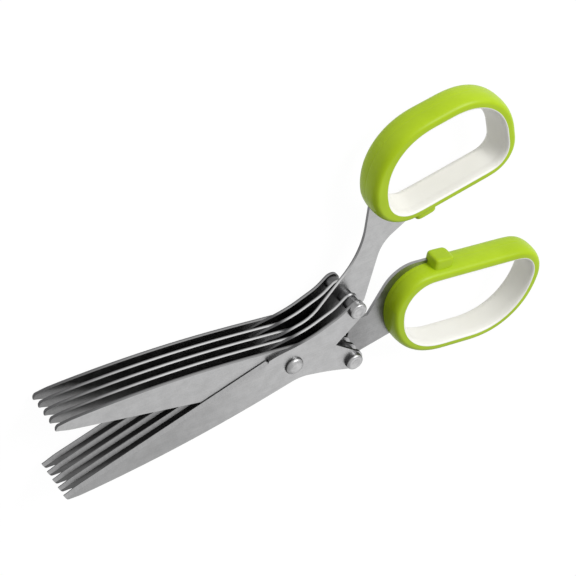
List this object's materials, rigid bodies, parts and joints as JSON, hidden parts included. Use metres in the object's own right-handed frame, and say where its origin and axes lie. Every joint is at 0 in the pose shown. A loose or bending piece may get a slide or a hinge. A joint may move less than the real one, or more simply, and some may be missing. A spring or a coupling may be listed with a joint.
{
  "type": "herb scissors",
  "caption": "Herb scissors with stacked parallel blades on one pivot, forked riveted shanks, and two lined finger loops with bumper stops.",
  "frame": {"origin": "on the pivot axis, in the plane of the underside of the pivot rivet's back head", "axes": "+X from the pivot towards the finger loops, along the bisector of the opened blades; +Y towards the thumb loop; +Z along the pivot axis, from the back of the blade stack to its front"},
  "size_m": [0.1952, 0.115, 0.0223],
  "materials": {
    "blade_steel": "fine brushed, satin",
    "rivet_steel": "tumbled, satin",
    "green_grip": "soft-touch, satin",
    "white_liner": "smooth, satin"
  },
  "bodies": {
    "thumb_half": {"thumb_blade_1": "blade_steel", "thumb_blade_2": "blade_steel", "thumb_handle_blade": "blade_steel", "thumb_blade_4": "blade_steel", "thumb_blade_5": "blade_steel", "pivot_rivet": "rivet_steel", "pivot_washers": "rivet_steel", "upper_ear_rivet": "rivet_steel", "lower_ear_rivet": "rivet_steel", "upper_ear_spacers": "rivet_steel", "lower_ear_spacers": "rivet_steel", "thumb_loop_shell": "green_grip", "thumb_loop_liner": "white_liner"},
    "finger_half": {"finger_blade_1": "blade_steel", "finger_blade_2": "blade_steel", "finger_handle_blade": "blade_steel", "finger_blade_4": "blade_steel", "finger_blade_5": "blade_steel", "tail_rivet": "rivet_steel", "tail_spacers": "rivet_steel", "finger_loop_shell": "green_grip", "finger_loop_liner": "white_liner"}
  },
  "joints": [
    {"name": "blade_pivot", "type": "hinge", "parent": "thumb_half", "child": "finger_half", "pos_m": [0, 0, 0.01], "axis": [0, 0, 1], "range_deg": [-2.5, 22.5]}
  ]
}
